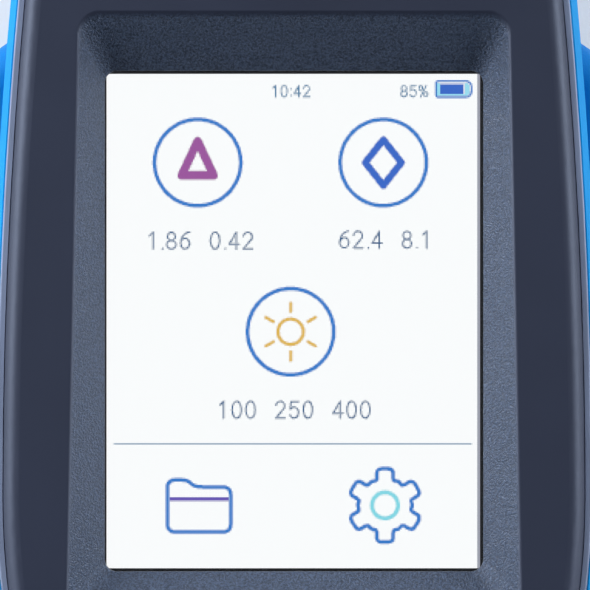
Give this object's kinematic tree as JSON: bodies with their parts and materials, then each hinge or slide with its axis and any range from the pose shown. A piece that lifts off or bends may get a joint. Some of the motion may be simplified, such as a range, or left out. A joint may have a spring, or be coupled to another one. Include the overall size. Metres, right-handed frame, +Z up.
{
  "type": "benchtop colorimeter",
  "caption": "Wedge-shaped benchtop colorimeter with a tilted touch display, side grips and a hinged lid over its sample stage.",
  "frame": {"origin": "middle of the footprint on the surface that the feet stand on", "axes": "+X to the user's right, +Y away from the user, +Z up"},
  "size_m": [0.0944, 0.188, 0.0786],
  "materials": {
    "cover": "fine satin grain",
    "trim": "satin",
    "shell_blue": "fine grain",
    "grip_blue": "matt",
    "touch_glass": "polished",
    "display_black": "matt",
    "display_cell": "lit panel",
    "key": "satin",
    "steel": "brushed",
    "aluminium": "bead blasted",
    "board": "solder mask",
    "chip": "matt",
    "contact": "polyimide film",
    "foam": "foam",
    "optics_black": "anodised look",
    "lens_glass": "polished",
    "led": "clear epoxy",
    "ceramic": "glazed",
    "battery": "shrink wrap",
    "feet": "matt"
  },
  "bodies": {
    "base": {"top_cover": "cover", "trim_frame": "trim", "lower_shell": "shell_blue", "left_grip": "grip_blue", "right_grip": "grip_blue", "feet": "feet", "case_screws": "steel", "display_gasket": "foam", "touch_panel": "touch_glass", "display_cell": "display_cell", "display_module": "display_black", "display_bracket": "steel", "display_screws": "steel", "display_ribbon": "contact", "main_board": "board", "board_connector": "display_black", "board_chips": "chip", "board_screws": "steel", "button_ring": "aluminium", "measure_switch": "chip", "battery_pack": "battery", "battery_door": "cover", "door_screws": "steel", "sample_stage": "optics_black", "port_ring": "aluminium", "port_seal": "foam", "port_window": "lens_glass", "window_retainer": "optics_black", "optics_block": "optics_black", "optics_screws": "steel", "leds": "led", "led_board": "board", "lens_barrel": "optics_black", "collecting_lens": "lens_glass", "detector_board": "board", "detector": "chip", "detector_screws": "steel", "catch_plates": "steel", "hinge_pin": "steel", "rear_panel": "trim", "io_board": "board", "io_screws": "steel", "usb_socket": "steel", "power_switch": "chip"},
    "lid": {"lid_cover": "cover", "lid_liner": "optics_black", "liner_screws": "steel", "light_seal": "foam", "lid_magnets": "steel", "tile_holder": "aluminium", "white_tile": "ceramic", "tile_cushion": "foam"},
    "measure_key": {"measure_button": "key"},
    "power_key": {"power_button": "key"}
  },
  "joints": [
    {"name": "lid_hinge", "type": "hinge", "parent": "base", "child": "lid", "pos_m": [0, 0.0875, 0.0687], "axis": [-1, 0, 0], "range_deg": [0, 100]},
    {"name": "measure_press", "type": "slide", "parent": "base", "child": "measure_key", "axis": [0, 0.2756, -0.9613], "range_m": [0, 0.0012], "stiffness_N_per_m": 1000, "springref_m": -0.0005},
    {"name": "power_press", "type": "slide", "parent": "base", "child": "power_key", "axis": [0, -1, 0], "range_m": [0, 0.0008], "stiffness_N_per_m": 1500, "springref_m": -0.0005}
  ]
}
